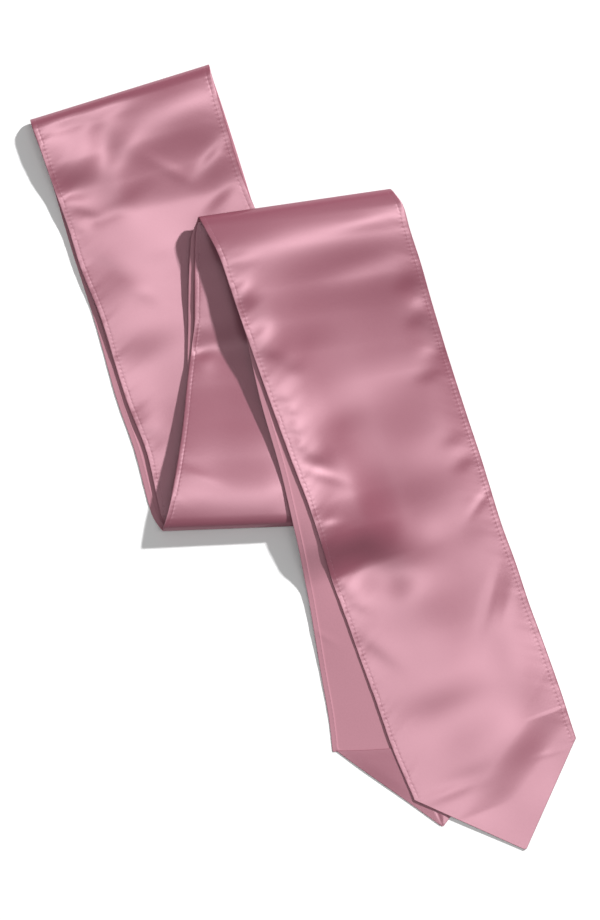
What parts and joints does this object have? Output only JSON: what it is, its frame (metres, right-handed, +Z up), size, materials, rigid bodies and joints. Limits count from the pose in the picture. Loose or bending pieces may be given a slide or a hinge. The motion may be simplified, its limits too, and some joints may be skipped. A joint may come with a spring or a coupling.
{
  "type": "satin sash, folded",
  "caption": "Long satin sash with pointed ends, folded in half and laid down in a soft zigzag, with both ends fanned out at the front.",
  "frame": {"origin": "centre of the folded sash's outline seen from above, on the surface that it lies on", "axes": "+X to the right and +Y away from the two pointed ends, towards the fold at the sash's middle; +Z up, away from the surface"},
  "size_m": [0.3384, 0.486, 0.0231],
  "materials": {
    "glossy_side": "dusty pink satin, glossy face",
    "dull_side": "dusty pink satin, dull back"
  },
  "bodies": {
    "root": {"back_stretch_lower": "dull_side", "back_stretch_upper": "glossy_side", "middle_stretch_lower": "dull_side", "middle_stretch_upper": "glossy_side", "end_b_fall": "dull_side", "end_a_fall": "glossy_side", "end_b_pocket": "glossy_side", "end_a_pocket": "glossy_side"}
  },
  "joints": []
}
